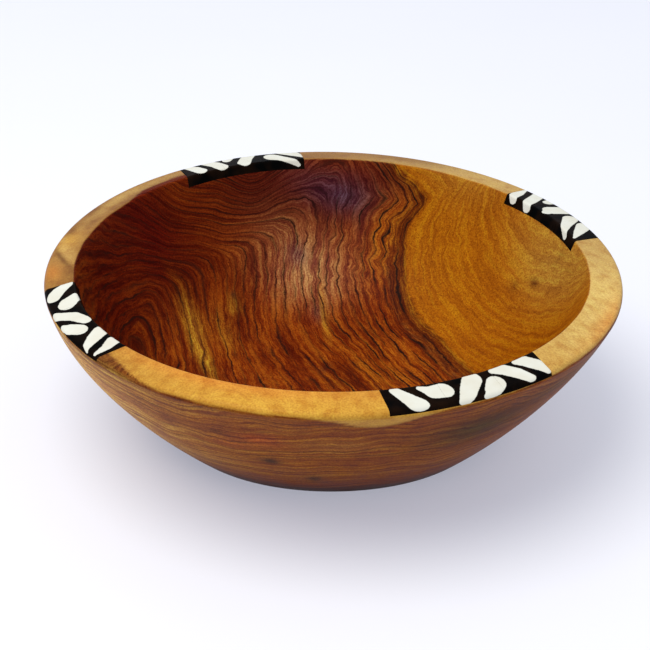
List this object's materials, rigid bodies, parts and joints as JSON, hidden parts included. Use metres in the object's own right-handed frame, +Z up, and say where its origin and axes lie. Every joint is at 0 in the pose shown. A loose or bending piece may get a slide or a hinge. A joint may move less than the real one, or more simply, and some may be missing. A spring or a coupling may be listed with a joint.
{
  "type": "carved wooden bowl",
  "caption": "Round hand-carved hardwood bowl with a small flat foot, a smooth deep hollow and a thick rim inlaid with rows of black-and-white dyed bone tiles.",
  "frame": {"origin": "centre of the foot's flat face, on the surface the bowl stands on", "axes": "+Z up out of the bowl, -Y towards the front, +X to the right"},
  "size_m": [0.2529, 0.2536, 0.0795],
  "materials": {
    "olive_wood": "oiled and buffed, satin",
    "dyed_bone": "polished bone, black dye with undyed ivory marks",
    "adhesive": "clear to amber set glue"
  },
  "bodies": {
    "root": {"bowl_body": "olive_wood", "bone_tile_front_right_1": "dyed_bone", "bone_tile_front_right_2": "dyed_bone", "bone_tile_front_right_3": "dyed_bone", "adhesive_bed_front_right": "adhesive", "bone_tile_left_1": "dyed_bone", "bone_tile_left_2": "dyed_bone", "bone_tile_left_3": "dyed_bone", "adhesive_bed_left": "adhesive", "bone_tile_back_left_1": "dyed_bone", "bone_tile_back_left_2": "dyed_bone", "bone_tile_back_left_3": "dyed_bone", "adhesive_bed_back_left": "adhesive", "bone_tile_back_right_1": "dyed_bone", "bone_tile_back_right_2": "dyed_bone", "bone_tile_back_right_3": "dyed_bone", "adhesive_bed_back_right": "adhesive"}
  },
  "joints": []
}
